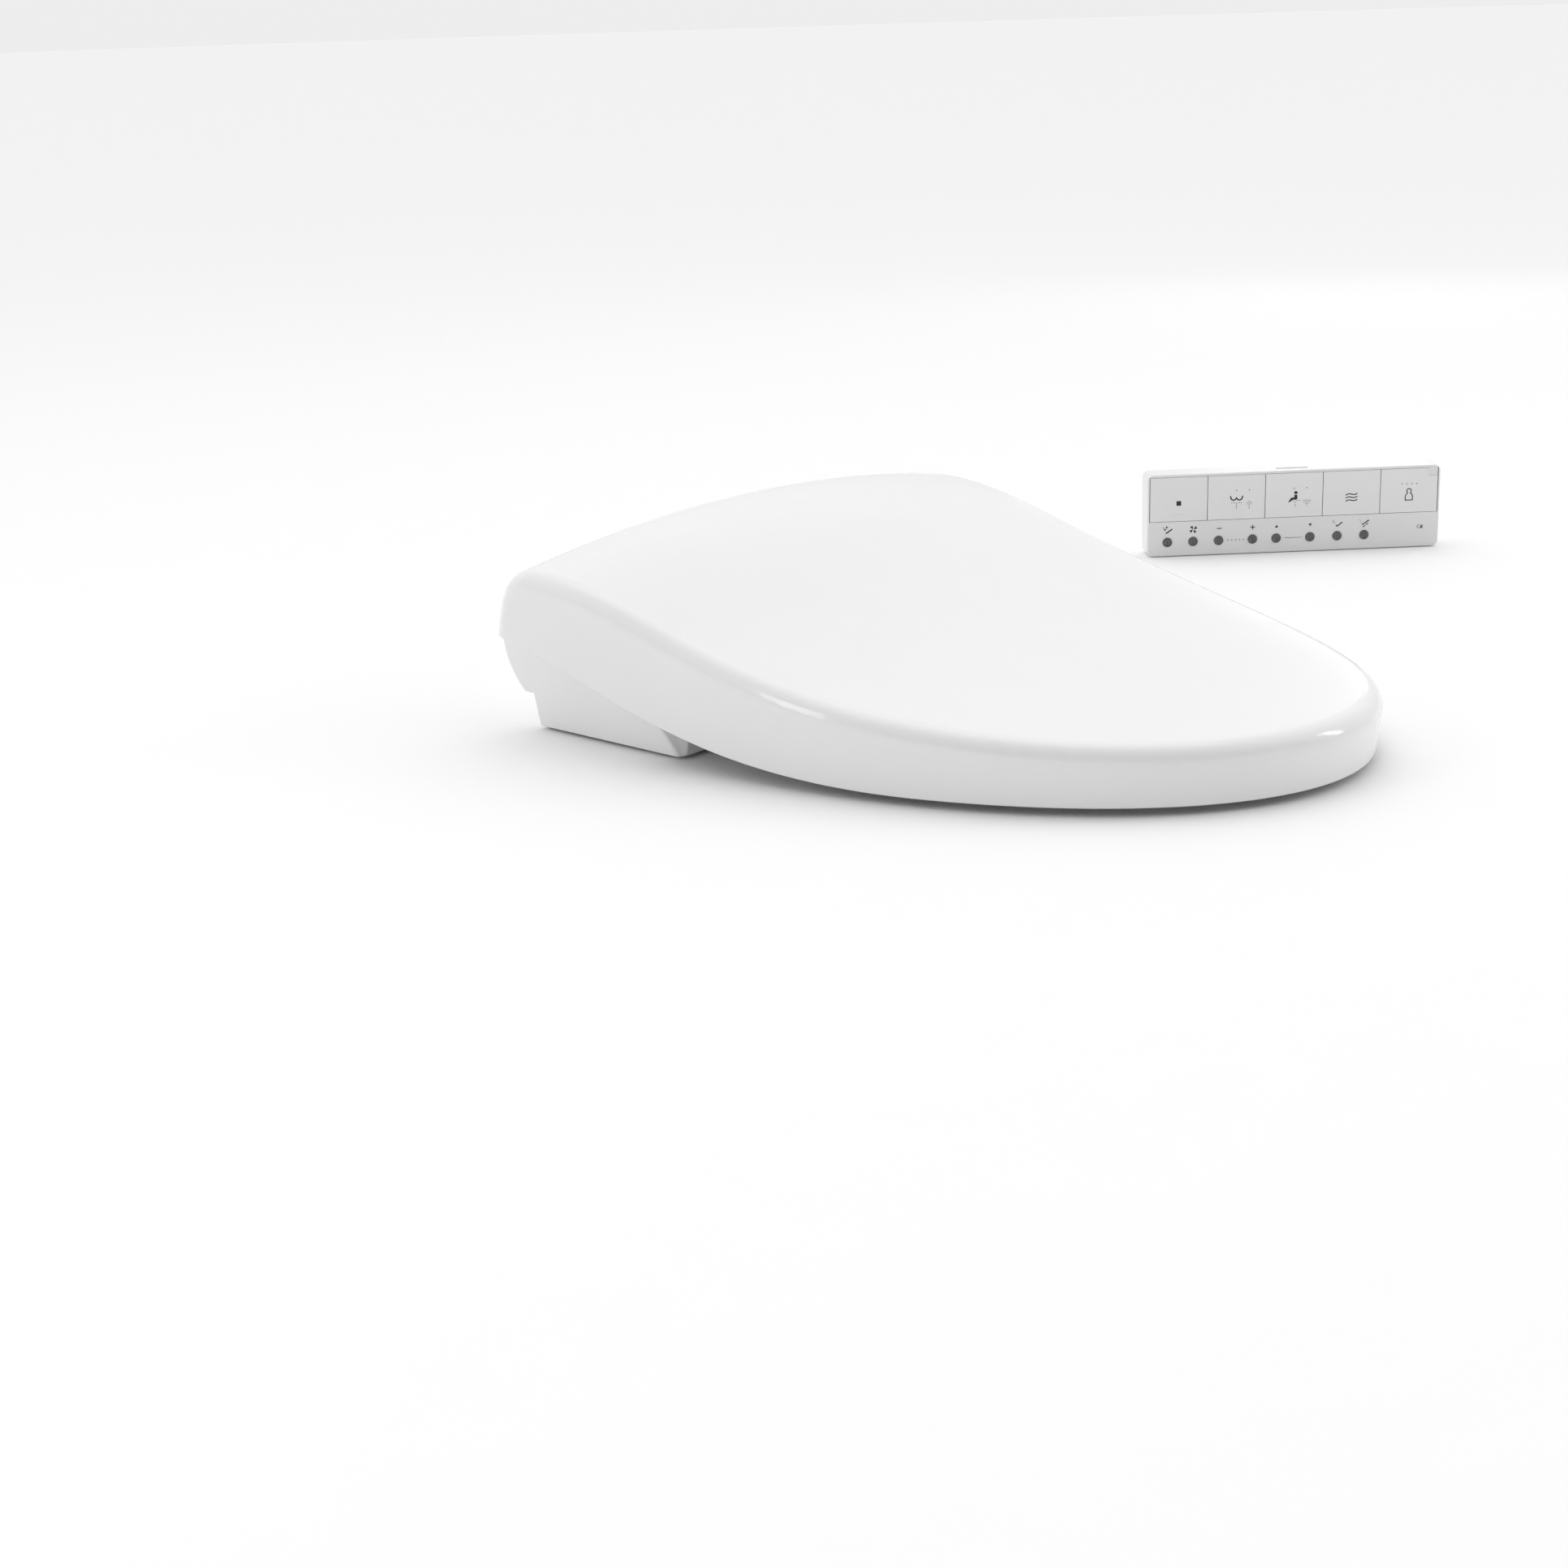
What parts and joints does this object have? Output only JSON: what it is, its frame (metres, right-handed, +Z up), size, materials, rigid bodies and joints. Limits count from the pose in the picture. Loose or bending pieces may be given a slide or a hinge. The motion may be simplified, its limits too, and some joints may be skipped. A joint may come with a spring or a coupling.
{
  "type": "electric bidet seat",
  "caption": "Electric bidet seat for a toilet bowl: hinged lid and heated ring on a flat base unit with spray wand, air dryer and a keyed wireless remote in its holder.",
  "frame": {"origin": "midpoint of the two fixing bolts, on the plane of the bowl's rim", "axes": "+X to the right seen from the front, +Y back towards the tank, +Z up; the tip of the lid points along -Y"},
  "size_m": [0.7878, 0.4585, 0.114],
  "materials": {
    "white_gloss": "glossy moulded",
    "seat_white": "glossy moulded",
    "liner_white": "semi-gloss moulded",
    "case_white": "semi-gloss moulded",
    "inner_plastic": "moulded",
    "soft_grey": "soft moulded",
    "steel": "turned",
    "dark_steel": "spun",
    "brass_fitting": "machined",
    "black_plastic": "fine texture",
    "smoked_window": "polished",
    "foil": "rolled foil",
    "board_green": "solder mask",
    "battery_jacket": "printed sleeve",
    "remote_white": "satin moulded",
    "key_white": "satin moulded"
  },
  "bodies": {
    "mount": {"mounting_plate": "inner_plastic", "bolt_adjusters": "black_plastic", "remote_holder": "remote_white"},
    "base_unit": {"lower_case": "case_white", "upper_case": "case_white", "sensor_window": "smoked_window", "side_cover_left": "white_gloss", "side_cover_right": "white_gloss", "base_feet": "soft_grey", "case_screws": "steel", "hinge_pins": "steel", "soft_close_dampers": "inner_plastic", "water_inlet": "brass_fitting", "inlet_strainer": "steel", "solenoid_valve": "black_plastic", "water_heater": "inner_plastic", "switching_valve": "inner_plastic", "water_tubes": "soft_grey", "wand_guide": "inner_plastic", "wand_motor": "black_plastic", "dryer_duct": "inner_plastic", "blower_housing": "black_plastic", "dryer_motor": "steel", "filter_housing": "inner_plastic", "deodoriser_fan": "black_plastic", "controller_board": "board_green", "power_supply": "black_plastic", "cord_gland": "soft_grey"},
    "seat": {"seat_top": "seat_white", "seat_pan": "seat_white", "seat_heater": "foil", "seat_bumpers": "soft_grey"},
    "lid": {"lid_shell": "white_gloss", "lid_liner": "liner_white", "lid_bumpers": "soft_grey"},
    "wand": {"wand": "case_white", "wand_tip": "case_white"},
    "dryer_flap": {"dryer_flap": "case_white"},
    "dryer_rotor": {"dryer_rotor": "inner_plastic"},
    "filter": {"deodoriser_filter": "inner_plastic"},
    "release_button": {"release_button": "white_gloss"},
    "remote": {"remote_front": "remote_white", "remote_back": "remote_white", "remote_board": "board_green", "batteries": "battery_jacket", "remote_ir_window": "smoked_window"},
    "battery_cover": {"battery_cover": "remote_white"},
    "key_stop": {"key_stop": "key_white"},
    "key_rear_wash": {"key_rear_wash": "key_white"},
    "key_front_wash": {"key_front_wash": "key_white"},
    "key_dryer": {"key_dryer": "key_white"},
    "key_user_preset": {"key_user_preset": "key_white"},
    "button_light_clean": {"button_light_clean": "dark_steel"},
    "button_deodoriser": {"button_deodoriser": "dark_steel"},
    "button_pressure_minus": {"button_pressure_minus": "dark_steel"},
    "button_pressure_plus": {"button_pressure_plus": "dark_steel"},
    "button_position_back": {"button_position_back": "dark_steel"},
    "button_position_front": {"button_position_front": "dark_steel"},
    "button_oscillate": {"button_oscillate": "dark_steel"},
    "button_wand_clean": {"button_wand_clean": "dark_steel"}
  },
  "joints": [
    {"name": "unit_slide", "type": "slide", "parent": "mount", "child": "base_unit", "axis": [0, -1, 0], "range_m": [0, 0.085]},
    {"name": "seat_hinge", "type": "hinge", "parent": "base_unit", "child": "seat", "pos_m": [0, -0.008, 0.05], "axis": [1, 0, 0], "range_deg": [-95, 0]},
    {"name": "lid_hinge", "type": "hinge", "parent": "seat", "child": "lid", "pos_m": [0, -0.008, 0.05], "axis": [-1, 0, 0], "range_deg": [0, 100]},
    {"name": "wand_slide", "type": "slide", "parent": "base_unit", "child": "wand", "axis": [0, -0.9703, -0.2419], "range_m": [0, 0.1]},
    {"name": "dryer_flap_hinge", "type": "hinge", "parent": "base_unit", "child": "dryer_flap", "pos_m": [0.064, -0.09675, 0.0213], "axis": [-1, 0, 0], "range_deg": [0, 75]},
    {"name": "dryer_rotor_spin", "type": "hinge", "parent": "base_unit", "child": "dryer_rotor", "pos_m": [0.064, -0.012, 0.052], "axis": [1, 0, 0], "continuous": true},
    {"name": "filter_slide", "type": "slide", "parent": "base_unit", "child": "filter", "axis": [0, -1, 0], "range_m": [0, 0.045]},
    {"name": "release_press", "type": "slide", "parent": "base_unit", "child": "release_button", "axis": [-1, 0, 0], "range_m": [0, 0.0025], "stiffness_N_per_m": 1500},
    {"name": "remote_lift", "type": "slide", "parent": "mount", "child": "remote", "axis": [0, 0, 1], "range_m": [0, 0.07]},
    {"name": "battery_cover_off", "type": "slide", "parent": "remote", "child": "battery_cover", "axis": [0.7071, 0.7071, 0], "range_m": [0, 0.03]},
    {"name": "key_stop_press", "type": "slide", "parent": "remote", "child": "key_stop", "axis": [0.7071, 0.7071, 0], "range_m": [0, 0.001], "stiffness_N_per_m": 2000},
    {"name": "key_rear_wash_press", "type": "slide", "parent": "remote", "child": "key_rear_wash", "axis": [0.7071, 0.7071, 0], "range_m": [0, 0.001], "stiffness_N_per_m": 2000},
    {"name": "key_front_wash_press", "type": "slide", "parent": "remote", "child": "key_front_wash", "axis": [0.7071, 0.7071, 0], "range_m": [0, 0.001], "stiffness_N_per_m": 2000},
    {"name": "key_dryer_press", "type": "slide", "parent": "remote", "child": "key_dryer", "axis": [0.7071, 0.7071, 0], "range_m": [0, 0.001], "stiffness_N_per_m": 2000},
    {"name": "key_user_preset_press", "type": "slide", "parent": "remote", "child": "key_user_preset", "axis": [0.7071, 0.7071, 0], "range_m": [0, 0.001], "stiffness_N_per_m": 2000},
    {"name": "button_light_clean_press", "type": "slide", "parent": "remote", "child": "button_light_clean", "axis": [0.7071, 0.7071, 0], "range_m": [0, 0.0006], "stiffness_N_per_m": 2500},
    {"name": "button_deodoriser_press", "type": "slide", "parent": "remote", "child": "button_deodoriser", "axis": [0.7071, 0.7071, 0], "range_m": [0, 0.0006], "stiffness_N_per_m": 2500},
    {"name": "button_pressure_minus_press", "type": "slide", "parent": "remote", "child": "button_pressure_minus", "axis": [0.7071, 0.7071, 0], "range_m": [0, 0.0006], "stiffness_N_per_m": 2500},
    {"name": "button_pressure_plus_press", "type": "slide", "parent": "remote", "child": "button_pressure_plus", "axis": [0.7071, 0.7071, 0], "range_m": [0, 0.0006], "stiffness_N_per_m": 2500},
    {"name": "button_position_back_press", "type": "slide", "parent": "remote", "child": "button_position_back", "axis": [0.7071, 0.7071, 0], "range_m": [0, 0.0006], "stiffness_N_per_m": 2500},
    {"name": "button_position_front_press", "type": "slide", "parent": "remote", "child": "button_position_front", "axis": [0.7071, 0.7071, 0], "range_m": [0, 0.0006], "stiffness_N_per_m": 2500},
    {"name": "button_oscillate_press", "type": "slide", "parent": "remote", "child": "button_oscillate", "axis": [0.7071, 0.7071, 0], "range_m": [0, 0.0006], "stiffness_N_per_m": 2500},
    {"name": "button_wand_clean_press", "type": "slide", "parent": "remote", "child": "button_wand_clean", "axis": [0.7071, 0.7071, 0], "range_m": [0, 0.0006], "stiffness_N_per_m": 2500}
  ]
}
